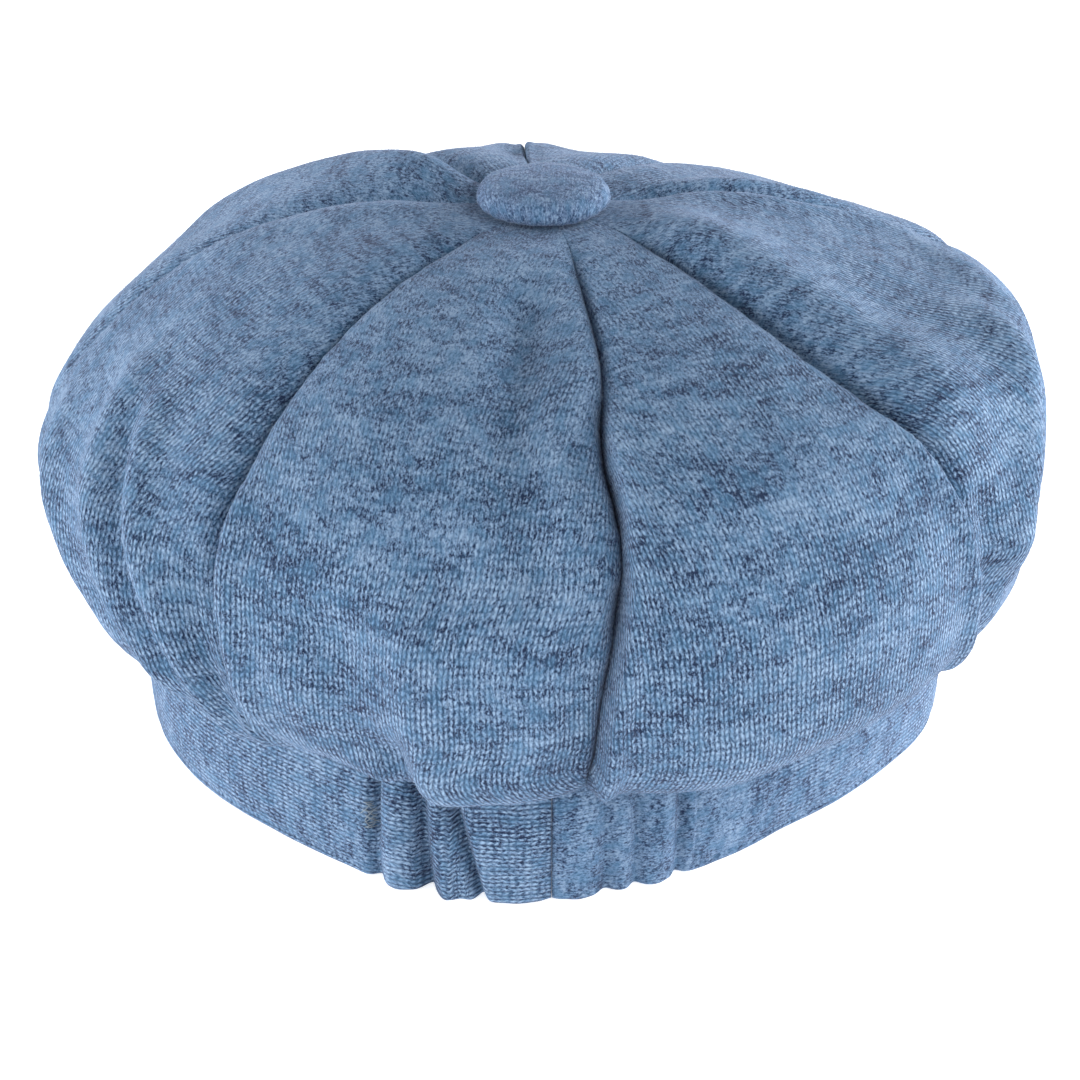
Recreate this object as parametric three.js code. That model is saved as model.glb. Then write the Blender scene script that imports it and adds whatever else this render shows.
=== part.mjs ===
// A soft eight-panel cap: knitted panels round a covered button, a headband gathered at the back
// of the head and a short cloth-covered peak at the front.
// Millimetres, +Z up, +Y towards the peak. Azimuth 0 is the back of the head, 90 the wearer's right.

import * as THREE from 'three';

// Cloth and clearances
const clothThickness = 2.2;
const gap = 0.3;

// Headband: two layers of cloth, standing on its lower edge
const bandHeight = 31;
const bandWall = 4;
const bandSwell = 1;
const bandJoint = 1.3;
const bandRows = 3;
const gatheredFrom = -30;
const gatheredTo = 28;
const gatheredStep = 2;
const plainStep = 6.25;

// Crown: how far its lower edge lies in over the top of the band, how wide the dips of its seams are,
// and where the rolls of cloth beside the seams lie and how wide they are
const rimSeat = 3;
const seamReach = 3;
const rollPlace = 8;
const rollWidth = 7;
const tieFrom = 0.8;
const levelFrom = 0.9;
const riseFrom = 0.04;
const riseTo = 0.16;
const bulgePower = 2.4;

// Covered button: its back is at the seat's height
const buttonRadius = 15;
const buttonSeat = 125.3;
const buttonForward = 8;
const buttonEdge = 2.4;
const buttonDome = 4.2;
const buttonSides = 28;

// Peak: half its spread in degrees, its reach in front of the band, its board with the cloth, how far
// its middle arches up and how fast it narrows towards its ends
const peakSpread = 62;
const peakReach = 52;
const peakEndReach = 5;
const peakThickness = 4;
const peakLift = 0.5;
const peakArch = 8;
const peakTaper = 1.25;
const peakSteps = 22;
const peakRows = 5;

// Reach of the crown from its axis at four azimuths, from under the button (share 0) down to the band
// (share 1). The axis leans forward of the band's centre by the last column.
const reachRows = [
  { share: 0.00, back: 5, right: 5, front: 5, left: 5, forward: 8 },
  { share: 0.10, back: 24, right: 24, front: 24, left: 24, forward: 8 },
  { share: 0.22, back: 48, right: 50, front: 48, left: 50, forward: 8 },
  { share: 0.34, back: 71, right: 79, front: 72, left: 75, forward: 8 },
  { share: 0.46, back: 90, right: 102, front: 93, left: 95, forward: 7 },
  { share: 0.58, back: 101, right: 109, front: 107, left: 110, forward: 6 },
  { share: 0.70, back: 104, right: 110, front: 112, left: 110.5, forward: 4 },
  { share: 0.82, back: 101, right: 106.5, front: 109, left: 103, forward: 2 },
  { share: 0.92, back: 94, right: 101, front: 103, left: 94.5, forward: 0 },
  { share: 1.00, back: 82, right: 91, front: 96, left: 90, forward: 0 },
];

// Height of the crown at the same places
const heightRows = [
  { share: 0.00, back: 124.5, right: 124.5, front: 124.5, left: 124.5 },
  { share: 0.10, back: 123.0, right: 124.0, front: 124.5, left: 124.5 },
  { share: 0.22, back: 118.0, right: 119.5, front: 117.5, left: 121.5 },
  { share: 0.34, back: 109.5, right: 110.8, front: 106.0, left: 112.0 },
  { share: 0.46, back: 96.5, right: 102.3, front: 92.0, left: 98.0 },
  { share: 0.58, back: 79.5, right: 85.0, front: 76.0, left: 80.0 },
  { share: 0.70, back: 61.5, right: 65.0, front: 60.0, left: 65.0 },
  { share: 0.82, back: 44.0, right: 44.0, front: 45.0, left: 47.5 },
  { share: 0.92, back: 33.1, right: 33.8, front: 35.0, left: 34.8 },
  { share: 1.00, back: 31.3, right: 31.3, front: 31.3, left: 31.3 },
];

// Azimuth of each seam under the button, at the shoulder, at the side and at the band, and how deep
// it dips at the top, at the side and low down, where a negative dip is a ridge
const seamShares = [0.05, 0.30, 0.62, 1.00];
const dipShares = [0.00, 0.30, 0.62, 0.88];
const seamRows = [
  { seam: 'back', top: 18, shoulder: 12.5, side: 8.5, low: 5, topDip: 1.6, sideDip: 3.8, lowDip: 0.6 },
  { seam: 'back_right', top: 58, shoulder: 47.5, side: 56.5, low: 69, topDip: 1.6, sideDip: 2.8, lowDip: 1.2 },
  { seam: 'right', top: 112, shoulder: 108, side: 111, low: 108, topDip: 2.4, sideDip: 1.6, lowDip: 1 },
  { seam: 'front_right', top: 156, shoulder: 150, side: 146, low: 143, topDip: 1.2, sideDip: 2, lowDip: 1 },
  { seam: 'front', top: 188, shoulder: 184, side: 182, low: 181, topDip: 0.2, sideDip: 2, lowDip: 1 },
  { seam: 'front_left', top: 222, shoulder: 222, side: 226, low: 229, topDip: 1.8, sideDip: 2, lowDip: 1 },
  { seam: 'left', top: 258, shoulder: 264, side: 274, low: 276, topDip: 1.8, sideDip: 2, lowDip: 1 },
  { seam: 'back_left', top: 313, shoulder: 317, side: 319, low: 322, topDip: 0.9, sideDip: 2.4, lowDip: -3 },
];

// How far the middle of each panel stands out of its seams, and the height of the roll of cloth beside
// its first and its last seam. A panel lies between the seam of its own name and the one before it.
const bulgeShares = [0.00, 0.62, 1.00];
const panelRows = [
  { panel: 'back', top: 1.5, side: 3, low: 3, startRoll: 0, endRoll: 0 },
  { panel: 'back_right', top: 1, side: 3, low: 3.5, startRoll: 0, endRoll: 0 },
  { panel: 'right', top: 1.5, side: 3.4, low: 3, startRoll: 0.8, endRoll: 0.6 },
  { panel: 'front_right', top: 1.8, side: 2.5, low: 3, startRoll: 0.6, endRoll: 0.6 },
  { panel: 'front', top: 0.6, side: 5, low: 3, startRoll: 0.6, endRoll: 0.6 },
  { panel: 'front_left', top: 2.5, side: 4, low: 3, startRoll: 0.6, endRoll: 0.6 },
  { panel: 'left', top: 2.5, side: 3, low: 3, startRoll: 0.6, endRoll: 1 },
  { panel: 'back_left', top: 1.5, side: 3, low: 3, startRoll: 2, endRoll: 0.6 },
];

// Ridges and, with a negative height, dents: each runs from one share down the panel and one share
// across it to another, bent sideways by its bow
const foldRows = [
  { panel: 'right', from: 0.12, fromAcross: 0.25, to: 0.48, toAcross: 0.15, width: 10, height: 3, bow: 0 },
  { panel: 'right', from: 0.12, fromAcross: 0.90, to: 0.37, toAcross: 0.92, width: 4.5, height: 2.2, bow: 0 },
  { panel: 'right', from: 0.36, fromAcross: 0.84, to: 0.50, toAcross: 0.40, width: 10, height: 2.6, bow: 0 },
  { panel: 'right', from: 0.42, fromAcross: 0.46, to: 0.74, toAcross: 0.15, width: 5.5, height: 4, bow: -0.05 },
  { panel: 'right', from: 0.47, fromAcross: 0.66, to: 0.72, toAcross: 0.34, width: 7, height: -4.5, bow: 0 },
  { panel: 'right', from: 0.50, fromAcross: 0.90, to: 0.68, toAcross: 0.76, width: 14, height: 2.6, bow: 0 },
  { panel: 'right', from: 0.58, fromAcross: 0.065, to: 0.88, toAcross: 0.065, width: 4.5, height: -3, bow: 0 },
  { panel: 'back_right', from: 0.46, fromAcross: 0.965, to: 0.90, toAcross: 0.965, width: 2.5, height: 2.8, bow: 0 },
  { panel: 'back_right', from: 0.36, fromAcross: 0.035, to: 0.92, toAcross: 0.035, width: 2.4, height: 3.4, bow: 0 },
  { panel: 'back', from: 0.38, fromAcross: 0.94, to: 0.90, toAcross: 0.94, width: 5, height: -2.2, bow: 0 },
  { panel: 'back', from: 0.16, fromAcross: 0.68, to: 0.58, toAcross: 0.78, width: 6.5, height: -4.4, bow: 0 },
  { panel: 'back', from: 0.50, fromAcross: 0.05, to: 0.84, toAcross: 0.08, width: 3.5, height: 2.6, bow: 0 },
  { panel: 'back', from: 0.62, fromAcross: 0.33, to: 0.88, toAcross: 0.38, width: 9, height: -3.6, bow: 0 },
  { panel: 'back', from: 0.80, fromAcross: 0.20, to: 0.97, toAcross: 0.25, width: 12, height: -2.4, bow: 0 },
  { panel: 'back', from: 0.80, fromAcross: 0.49, to: 0.95, toAcross: 0.47, width: 5, height: -4.5, bow: 0 },
  { panel: 'back', from: 0.60, fromAcross: 0.56, to: 0.90, toAcross: 0.59, width: 7, height: 3.2, bow: 0 },
  { panel: 'back_right', from: 0.80, fromAcross: 0.30, to: 0.93, toAcross: 0.30, width: 16, height: 1.6, bow: 0 },
  { panel: 'right', from: 0.66, fromAcross: 0.30, to: 0.76, toAcross: 0.42, width: 9, height: -2.6, bow: 0 },
  { panel: 'back_left', from: 0.46, fromAcross: 0.65, to: 0.93, toAcross: 0.91, width: 4.5, height: 3.4, bow: 0.055 },
  { panel: 'back_left', from: 0.45, fromAcross: 0.48, to: 0.86, toAcross: 0.74, width: 5, height: 3, bow: 0 },
  { panel: 'back_left', from: 0.50, fromAcross: 0.60, to: 0.80, toAcross: 0.80, width: 3.5, height: -2.4, bow: 0.02 },
  { panel: 'back_left', from: 0.56, fromAcross: 0.94, to: 0.86, toAcross: 0.95, width: 4, height: -2.2, bow: 0 },
  { panel: 'back_left', from: 0.52, fromAcross: 0.22, to: 0.86, toAcross: 0.50, width: 6, height: 2.8, bow: 0 },
  { panel: 'left', from: 0.08, fromAcross: 0.35, to: 0.44, toAcross: 0.35, width: 15, height: 4.5, bow: 0 },
  { panel: 'front_left', from: 0.22, fromAcross: 0.12, to: 0.44, toAcross: 0.12, width: 8, height: 3.8, bow: 0 },
  { panel: 'front_left', from: 0.50, fromAcross: 0.30, to: 0.90, toAcross: 0.60, width: 8, height: 2.2, bow: 0.05 },
  { panel: 'front', from: 0.20, fromAcross: 0.96, to: 0.46, toAcross: 0.96, width: 6, height: 2.2, bow: 0 },
  { panel: 'front', from: 0.45, fromAcross: 0.70, to: 0.90, toAcross: 0.45, width: 9, height: 2.4, bow: 0 },
  { panel: 'front_right', from: 0.10, fromAcross: 0.55, to: 0.34, toAcross: 0.60, width: 14, height: 2, bow: 0 },
  { panel: 'front_right', from: 0.14, fromAcross: 0.12, to: 0.34, toAcross: 0.18, width: 4, height: 2, bow: 0 },
  { panel: 'front_right', from: 0.50, fromAcross: 0.60, to: 0.92, toAcross: 0.40, width: 8, height: 2.2, bow: 0 },
];
const foldSoftness = 0.11;
const foldWidestShare = 0.3;

// Places across and down a panel where its surface is measured, closer beside the seams
const acrossShares = [0, 0.045, 0.11, 0.2, 0.31, 0.43, 0.55, 0.66, 0.76, 0.86, 0.945, 1];
const downShares = [
  0, 0.06, 0.12, 0.17, 0.22, 0.28, 0.34, 0.4, 0.46, 0.52, 0.58, 0.64, 0.7, 0.75, 0.8, 0.84, 0.88, 0.92,
  0.95, 0.975, 1,
];

// Outer radius of the band round the head
const bandPlan = [
  { azimuth: 0, radius: 84.8 },
  { azimuth: 14, radius: 82 },
  { azimuth: 42, radius: 78 },
  { azimuth: 64, radius: 83 },
  { azimuth: 90, radius: 93.5 },
  { azimuth: 125, radius: 97 },
  { azimuth: 180, radius: 99 },
  { azimuth: 235, radius: 97 },
  { azimuth: 270, radius: 92.5 },
  { azimuth: 298, radius: 86 },
  { azimuth: 320, radius: 82.5 },
  { azimuth: 350, radius: 86 },
];

// Gathers of the elastic stretch: the azimuth at half height, the width and slant in degrees
const gatherRows = [
  { azimuth: -25.6, width: 1.2, height: -2.2, slant: 0 },
  { azimuth: -22, width: 2.2, height: 1.6, slant: 0 },
  { azimuth: -17.8, width: 1.3, height: -3.2, slant: 1 },
  { azimuth: -14.8, width: 1.5, height: 1.6, slant: 2 },
  { azimuth: -11.5, width: 0.9, height: -3.0, slant: 4 },
  { azimuth: -4.5, width: 4.5, height: 1.4, slant: 0 },
  { azimuth: 1.3, width: 1.2, height: -0.8, slant: 0 },
  { azimuth: 5, width: 3, height: 1.0, slant: 0 },
  { azimuth: 9.5, width: 1.5, height: -1.5, slant: 0 },
  { azimuth: 14.5, width: 1.5, height: -1.3, slant: 0 },
  { azimuth: 18, width: 2, height: 1.0, slant: 0 },
  { azimuth: 21.8, width: 1.3, height: -1.5, slant: 0 },
];

// Colours of the finished pieces
const colours = { panels: 0x6a87a8, button: 0x7188a9, band: 0x6f8bad, peak: 0x6a87a8 };
const clothRoughness = 0.95;

const degrees = Math.PI / 180;

// A smooth curve through rows of places and values, with the slope at a row taken from its neighbours
function smoothCurve(places, values, place) {
  const last = places.length - 1;
  const slopeAt = (i) => {
    const before = Math.max(i - 1, 0);
    const after = Math.min(i + 1, last);
    return (values[after] - values[before]) / (places[after] - places[before]);
  };
  let i = 0;
  while (i < last - 1 && place >= places[i + 1]) i += 1;
  const span = places[i + 1] - places[i];
  const s = (place - places[i]) / span;
  const s2 = s * s;
  const s3 = s2 * s;
  return (2 * s3 - 3 * s2 + 1) * values[i] + (s3 - 2 * s2 + s) * span * slopeAt(i)
    + (3 * s2 - 2 * s3) * values[i + 1] + (s3 - s2) * span * slopeAt(i + 1);
}

function smoothStep(from, to, value) {
  const s = Math.min(Math.max((value - from) / (to - from), 0), 1);
  return s * s * (3 - 2 * s);
}

function column(rows, key) {
  return rows.map((row) => row[key]);
}

// Band radius at an azimuth: the plan is repeated once on each side, so that the curve closes
const planAzimuths = [-360, 0, 360].flatMap((turn) => bandPlan.map((row) => row.azimuth + turn));
const planRadii = [-360, 0, 360].flatMap(() => bandPlan.map((row) => row.radius));

function bandRadius(azimuth) {
  return smoothCurve(planAzimuths, planRadii, ((azimuth % 360) + 360) % 360);
}

// How much of each of the four measured sides counts at an azimuth
function sideWeights(azimuth) {
  const sine = Math.sin(azimuth * degrees);
  const cosine = Math.cos(azimuth * degrees);
  return {
    back: Math.max(cosine, 0) ** 2,
    right: Math.max(sine, 0) ** 2,
    front: Math.max(-cosine, 0) ** 2,
    left: Math.max(-sine, 0) ** 2,
  };
}

function mixed(rows, weights, share) {
  const shares = column(rows, 'share');
  let total = 0;
  for (const side of ['back', 'right', 'front', 'left']) {
    if (weights[side] > 0) total += weights[side] * smoothCurve(shares, column(rows, side), share);
  }
  return total;
}

// The crown without its bulges and folds. Its lower edge is tied to the outline of the band.
function crownBase(azimuth, share) {
  const weights = sideWeights(azimuth);
  const tie = smoothStep(tieFrom, 1, share);
  const free = mixed(reachRows, weights, share);
  const edge = mixed(reachRows, weights, 1);
  const reach = free + tie * (bandRadius(azimuth) - rimSeat - edge);
  const forward = smoothCurve(column(reachRows, 'share'), column(reachRows, 'forward'), share);
  const height = mixed(heightRows, weights, share);
  const angle = azimuth * degrees;
  return new THREE.Vector3(reach * Math.sin(angle), forward - reach * Math.cos(angle), height);
}

function crownNormal(azimuth, share) {
  const turn = 0.5;
  const step = 0.001;
  const round = crownBase(azimuth + turn, share).sub(crownBase(azimuth - turn, share));
  const down = crownBase(azimuth, Math.min(share + step, 1)).sub(crownBase(azimuth, Math.max(share - step, 0)));
  return down.cross(round).normalize();
}

function seamAzimuth(row, share) {
  return smoothCurve(seamShares, [row.top, row.shoulder, row.side, row.low], Math.max(share, seamShares[0]));
}

// Depth of a seam at a share of the way down
function seamDip(row, share) {
  const depths = [row.topDip, row.topDip, row.sideDip, row.lowDip];
  return smoothCurve(dipShares, depths, Math.min(share, dipShares[dipShares.length - 1]));
}

function bell(place) {
  return Math.exp(-(place ** 2));
}

// Height of the folds of a panel at a place on it, where the panel is as wide as given
function foldHeight(panel, across, share, panelWidth) {
  let height = 0;
  for (const fold of foldRows) {
    if (fold.panel !== panel) continue;
    const along = Math.min(Math.max((share - fold.from) / (fold.to - fold.from), 0), 1);
    const middle = fold.fromAcross + (fold.toAcross - fold.fromAcross) * along
      + fold.bow * 4 * along * (1 - along);
    const reach = Math.min(fold.width, foldWidestShare * panelWidth);
    const half = foldSoftness / 2;
    const ends = smoothStep(fold.from - half, fold.from + half, share)
      * (1 - smoothStep(fold.to - half, fold.to + half, share));
    height += fold.height * bell(((across - middle) * panelWidth) / reach) * ends;
  }
  return height;
}

// A point of a panel, on its outer face for layer 0 and on its inner face for layer 1
function panelPoint(index, across, share, layer) {
  const count = panelRows.length;
  const before = seamRows[(index + count - 1) % count];
  const row = panelRows[index];
  const start = seamAzimuth(before, share) - (index === 0 ? 360 : 0);
  const end = seamAzimuth(seamRows[index], share);
  const middle = crownBase((start + end) / 2, share);
  const axisDistance = Math.hypot(middle.x, middle.y - buttonForward);
  const panelWidth = (end - start) * degrees * axisDistance;
  const clearance = (gap / 2) / (axisDistance * degrees);
  const azimuth = start + clearance + (end - start - 2 * clearance) * across;
  const rise = smoothStep(riseFrom, riseTo, share);
  const bulge = smoothCurve(bulgeShares, [row.top, row.side, row.low], share)
    * (1 - Math.abs(2 * across - 1) ** bulgePower);
  const fromSeam = Math.min(across, 1 - across) * panelWidth;
  const dip = bell(fromSeam / seamReach) * seamDip(across < 0.5 ? before : seamRows[index], share);
  const roll = Math.min(rollPlace, foldWidestShare * panelWidth);
  const rolls = row.startRoll * bell((across * panelWidth - roll) / rollWidth)
    + row.endRoll * bell(((1 - across) * panelWidth - roll) / rollWidth);
  const relief = (bulge - dip + foldHeight(row.panel, across, share, panelWidth) + rolls) * rise
    * (1 - smoothStep(levelFrom, 1, share));
  const point = crownBase(azimuth, share);
  return point.addScaledVector(crownNormal(azimuth, share), relief - layer * clothThickness);
}

// One closed body between two grids of points: an outer face, an inner face and the four edges
function closedShell(outer, inner) {
  const steps = outer.length - 1;
  const rows = outer[0].length - 1;
  const positions = [...outer.flat(), ...inner.flat()].flatMap((point) => [point.x, point.y, point.z]);
  const out = (i, j) => i * (rows + 1) + j;
  const into = (i, j) => (steps + 1) * (rows + 1) + out(i, j);
  const index = [];
  const quad = (a, b, c, d) => index.push(a, b, c, a, c, d);
  for (let i = 0; i < steps; i += 1) {
    for (let j = 0; j < rows; j += 1) {
      quad(out(i, j), out(i, j + 1), out(i + 1, j + 1), out(i + 1, j));
      quad(into(i, j), into(i + 1, j), into(i + 1, j + 1), into(i, j + 1));
    }
    quad(out(i, 0), out(i + 1, 0), into(i + 1, 0), into(i, 0));
    quad(out(i + 1, rows), out(i, rows), into(i, rows), into(i + 1, rows));
  }
  for (let j = 0; j < rows; j += 1) {
    quad(out(0, j + 1), out(0, j), into(0, j), into(0, j + 1));
    quad(out(steps, j), out(steps, j + 1), into(steps, j + 1), into(steps, j));
  }
  const geometry = new THREE.BufferGeometry();
  geometry.setAttribute('position', new THREE.Float32BufferAttribute(positions, 3));
  geometry.setIndex(index);
  geometry.computeVertexNormals();
  return geometry;
}

function grid(acrossPlaces, downPlaces, pointAt) {
  return acrossPlaces.map((across) => downPlaces.map((down) => pointAt(across, down)));
}

function evenShares(count) {
  return Array.from({ length: count + 1 }, (_, i) => i / count);
}

function clothMesh(name, geometry, colour) {
  const material = new THREE.MeshStandardMaterial({ color: colour, roughness: clothRoughness, metalness: 0 });
  const mesh = new THREE.Mesh(geometry, material);
  mesh.name = name;
  return mesh;
}

function makePanel(index) {
  const outer = grid(acrossShares, downShares, (across, share) => panelPoint(index, across, share, 0));
  const inner = grid(acrossShares, downShares, (across, share) => panelPoint(index, across, share, 1));
  return clothMesh(`panel_${panelRows[index].panel}`, closedShell(outer, inner), colours.panels);
}

// Outer face of the band, from its top (share 0) down to its lower edge (share 1)
function bandFace(azimuth, share) {
  const turned = azimuth > 180 ? azimuth - 360 : azimuth;
  let radius = bandRadius(azimuth) + bandSwell * Math.sin(Math.PI * share);
  for (const gather of gatherRows) {
    const middle = gather.azimuth + gather.slant * (share - 0.5);
    radius += gather.height * bell((turned - middle) / gather.width);
  }
  const angle = azimuth * degrees;
  return new THREE.Vector3(radius * Math.sin(angle), -radius * Math.cos(angle), bandHeight * (1 - share));
}

function bandBack(azimuth, share) {
  const radius = bandRadius(azimuth) - bandWall;
  const angle = azimuth * degrees;
  return new THREE.Vector3(radius * Math.sin(angle), -radius * Math.cos(angle), bandHeight * (1 - share));
}

// The band is one strip whose ends meet at the back, with finer steps along the gathers
function bandAzimuths() {
  const clearance = (gap / 2) / (bandRadius(bandJoint) * degrees);
  const places = [bandJoint + clearance];
  const evenly = (from, to, step) => {
    const count = Math.ceil((to - from) / step);
    for (let i = 1; i <= count; i += 1) places.push(from + ((to - from) * i) / count);
  };
  evenly(bandJoint + clearance, gatheredTo, gatheredStep);
  evenly(gatheredTo, 360 + gatheredFrom, plainStep);
  evenly(360 + gatheredFrom, 360 + bandJoint - clearance, gatheredStep);
  return places;
}

function makeHeadband() {
  const azimuths = bandAzimuths();
  const rows = evenShares(bandRows);
  return clothMesh('headband', closedShell(grid(azimuths, rows, bandFace), grid(azimuths, rows, bandBack)), colours.band);
}

// Peak: a crescent on the front of the band, arched a little between its ends
function peakPoint(turn, share, side) {
  const azimuth = 180 + turn * peakSpread;
  const fullness = 1 - turn * turn;
  const reach = peakEndReach + (peakReach - peakEndReach) * fullness ** peakTaper;
  const middle = peakLift + peakThickness / 2 + peakArch * fullness * Math.sin(Math.PI * 0.75 * share);
  const height = middle + side * peakThickness / 2;
  const bandFront = bandRadius(azimuth) + bandSwell * Math.sin((Math.PI * height) / bandHeight);
  const radius = bandFront + gap + reach * share;
  const angle = azimuth * degrees;
  return new THREE.Vector3(radius * Math.sin(angle), -radius * Math.cos(angle), height);
}

function makePeak() {
  const turns = evenShares(peakSteps).map((share) => 2 * share - 1);
  const rows = evenShares(peakRows);
  const top = grid(turns, rows, (turn, share) => peakPoint(turn, share, 1));
  const underside = grid(turns, rows, (turn, share) => peakPoint(turn, share, -1));
  return clothMesh('peak', closedShell(top, underside), colours.peak);
}

// Button: a flat back, a rounded edge and a low dome, turned about its own axis
function makeButton() {
  const profile = [new THREE.Vector2(0, 0)];
  for (const angle of [-90, -50, -10, 30, 60]) {
    const out = buttonRadius - buttonEdge + buttonEdge * Math.cos(angle * degrees);
    profile.push(new THREE.Vector2(out, buttonEdge + buttonEdge * Math.sin(angle * degrees)));
  }
  const shoulder = profile[profile.length - 1];
  for (const share of [0.75, 0.5, 0.25, 0]) {
    const rise = Math.sqrt(1 - share ** 2.4);
    profile.push(new THREE.Vector2(shoulder.x * share, shoulder.y + (buttonEdge + buttonDome - shoulder.y) * rise));
  }
  const mesh = clothMesh('top_button', new THREE.LatheGeometry(profile, buttonSides), colours.button);
  mesh.rotation.x = Math.PI / 2;
  mesh.position.set(0, buttonForward, buttonSeat);
  return mesh;
}

const cap = new THREE.Group();
panelRows.forEach((row, index) => cap.add(makePanel(index)));
cap.add(makeHeadband(), makePeak(), makeButton());

// The origin is under the middle of the whole cap, on the surface that it stands on
cap.updateMatrixWorld(true);
const bounds = new THREE.Box3().setFromObject(cap, true);
const centre = bounds.getCenter(new THREE.Vector3());
cap.position.set(-centre.x, -centre.y, -bounds.min.z);

export default cap;
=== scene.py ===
import itertools
import math
from types import SimpleNamespace

import bmesh
import bpy
import numpy as np
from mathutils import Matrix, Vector


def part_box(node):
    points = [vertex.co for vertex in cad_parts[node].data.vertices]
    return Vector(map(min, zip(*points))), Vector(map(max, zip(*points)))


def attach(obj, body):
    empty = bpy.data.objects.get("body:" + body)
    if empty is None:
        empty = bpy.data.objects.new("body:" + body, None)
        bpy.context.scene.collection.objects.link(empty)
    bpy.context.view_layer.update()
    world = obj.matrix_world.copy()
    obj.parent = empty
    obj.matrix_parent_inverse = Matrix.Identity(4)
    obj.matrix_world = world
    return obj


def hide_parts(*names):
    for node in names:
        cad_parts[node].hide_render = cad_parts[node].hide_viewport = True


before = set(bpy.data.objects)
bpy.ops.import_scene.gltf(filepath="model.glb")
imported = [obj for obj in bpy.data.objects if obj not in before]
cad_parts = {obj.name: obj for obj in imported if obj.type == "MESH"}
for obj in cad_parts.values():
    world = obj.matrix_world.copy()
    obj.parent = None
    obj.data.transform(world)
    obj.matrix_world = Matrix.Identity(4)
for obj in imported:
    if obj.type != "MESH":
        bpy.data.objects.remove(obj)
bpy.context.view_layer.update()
mm = 0.001

# Knitted cabbie hat, seen from behind as it stands on its rim.
# The cap's own frame is in millimetres: z up, y forward, azimuth 0 at the back and 90 at the right.
# Every piece is made in that frame and then put where the button's solid is.


def columns(names, rows):
    return {name: np.array([row[i] for row in rows], float) for i, name in enumerate(names.split())}


def rowsOf(names, rows):
    return [dict(zip(names.split(), row)) for row in rows]


# Smooth curve through a few rows, with the slope at a row taken from its neighbours
def smoothCurve(places, values, x):
    places = np.asarray(places, float)
    values = np.asarray(values, float)
    last = len(places) - 1
    before = np.maximum(np.arange(last + 1) - 1, 0)
    after = np.minimum(np.arange(last + 1) + 1, last)
    slopes = (values[after] - values[before]) / (places[after] - places[before])
    i = np.clip(np.searchsorted(places, x, side="right") - 1, 0, last - 1)
    span = places[i + 1] - places[i]
    s = (x - places[i]) / span
    return (
        (2 * s**3 - 3 * s**2 + 1) * values[i] + (s**3 - 2 * s**2 + s) * span * slopes[i]
        + (3 * s**2 - 2 * s**3) * values[i + 1] + (s**3 - s**2) * span * slopes[i + 1]
    )


def smoothStep(start, end, x):
    s = np.clip((x - start) / (end - start), 0, 1)
    return s * s * (3 - 2 * s)


def bell(x):
    return np.exp(-(x**2))


# large odd numbers that scatter the heights of the lattice below
scatter = dict(x=374761393, y=668265263, z=2147483629, seed=144665, mix=1274126177)


# Soft random relief from -1 to 1, the same on every run: random heights on a lattice, blended
def softNoise(points, size, seed):
    place = np.asarray(points, float) / size
    cell = np.floor(place).astype(np.int64)
    part = place - cell
    part = part * part * (3 - 2 * part)
    total = np.zeros(place.shape[:-1])
    for corner in itertools.product((0, 1), repeat=3):
        at = cell + np.array(corner)
        mixed = at[..., 0] * scatter["x"] + at[..., 1] * scatter["y"] + at[..., 2] * scatter["z"]
        mixed = (mixed + seed * scatter["seed"]) & 0xFFFFFFFF
        mixed = ((mixed ^ (mixed >> 13)) * scatter["mix"]) & 0xFFFFFFFF
        value = ((mixed ^ (mixed >> 16)) & 0xFFFF) / 32767.5 - 1
        weight = np.prod(np.where(np.array(corner) == 1, part, 1 - part), axis=-1)
        total += weight * value
    return total


def onLine(x, y=0.0, z=0.0):
    x, y, z = np.broadcast_arrays(np.asarray(x, float), y, z)
    return np.stack([x, y, z], -1)


# Band: two layers of cloth, gathered by elastic at the back
band = dict(
    height=31.0, swell=1.0, joint=1.3, clearance=0.05, backRadius=84.0,
    elasticFrom=-25.6, elasticTo=24.5, elasticFade=3.0,
    hemHeight=2.5, hemDepth=0.75, hemReach=0.42, lipDepth=0.35, hemLeft=(-27, -31), hemRight=(26, 30),
    rippleSize=2.6, rippleHeight=0.32, waveSize=17.0, waveHeight=0.35,
    scallop=0.175, scallopSize=9.0, scallopUpTo=4.0, innerRelief=0.45, innerUpTo=-2.4, outerFrom=-0.6,
    gatheredTo=29, gatheredFrom=330, fineSteps=150, plainSteps=300, gatheredSteps=170, fibres=13000,
)
bandPlan = columns("azimuth radius", [
    (0, 84.8), (14, 82), (42, 78), (64, 83), (90, 93.5), (125, 97),
    (180, 99), (235, 97), (270, 92.5), (298, 86), (320, 82.5), (350, 86),
])
planAzimuths = np.concatenate([bandPlan["azimuth"] + turn for turn in (-360, 0, 360)])
planRadii = np.tile(bandPlan["radius"], 3)
gathers = rowsOf("azimuth width height slant", [
    (-25.6, 1.2, -2.2, 0), (-22, 2.2, 1.6, 0), (-17.8, 1.2, -3.9, 1), (-14.8, 1.5, 1.6, 2),
    (-11.5, 0.9, -3.8, 5), (-4.5, 4.5, 1.4, 0), (1.3, 1.2, -0.8, 0), (5, 3, 1.0, 0), (9.5, 1.3, -2.0, 0),
    (14.5, 1.2, -1.8, 0), (18, 2, 1.0, 0), (21.8, 1.1, -1.9, 0),
])
# lines sewn down the band: narrow creases between two heights
sewnLines = rowsOf("azimuth width depth low high", [
    (-25.4, 0.42, 1.3, 12, 27), (1.3, 0.32, 0.9, 1, 30), (24.6, 0.30, 0.6, 3, 30),
])
lineFade = 2  # millimetres over which a sewn line starts or ends


def bandRadius(azimuth):
    return smoothCurve(planAzimuths, planRadii, np.mod(azimuth, 360))


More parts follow.
